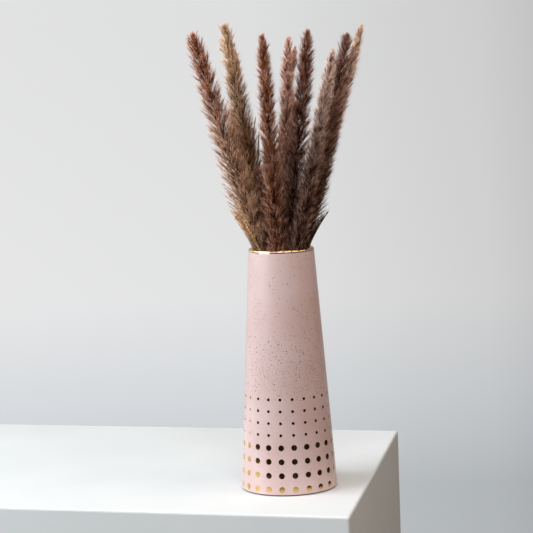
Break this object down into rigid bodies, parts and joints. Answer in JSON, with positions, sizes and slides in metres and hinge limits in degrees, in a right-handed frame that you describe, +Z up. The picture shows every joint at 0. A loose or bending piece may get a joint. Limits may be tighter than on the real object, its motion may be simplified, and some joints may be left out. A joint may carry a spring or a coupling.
{
  "type": "vase of dried grass stems",
  "caption": "Tapered glazed ceramic vase with a rounded lip, holding a loose fan of feathery dried reed plumes on thin stalks.",
  "frame": {"origin": "centre of the vase's flat underside, on the surface that it stands on", "axes": "+Z up along the vase's axis, +X to the right and -Y towards a viewer who looks at the front of the bunch"},
  "size_m": [0.1862, 0.1215, 0.506],
  "materials": {
    "glaze": "gloss",
    "lustre": "polished",
    "stalk": "matte",
    "plume": "matte"
  },
  "bodies": {
    "root": {"vase": "glaze", "stalk_01": "stalk", "stalk_02": "stalk", "stalk_03": "stalk", "stalk_04": "stalk", "stalk_05": "stalk", "stalk_06": "stalk", "stalk_07": "stalk", "stalk_08": "stalk", "stalk_09": "stalk", "stalk_10": "stalk", "stalk_11": "stalk", "stalk_12": "stalk", "plume_01": "plume", "plume_02": "plume", "plume_03": "plume", "plume_04": "plume", "plume_05": "plume", "plume_06": "plume", "plume_07": "plume", "plume_08": "plume", "plume_09": "plume", "plume_10": "plume", "plume_11": "plume", "plume_12": "plume"}
  },
  "joints": []
}
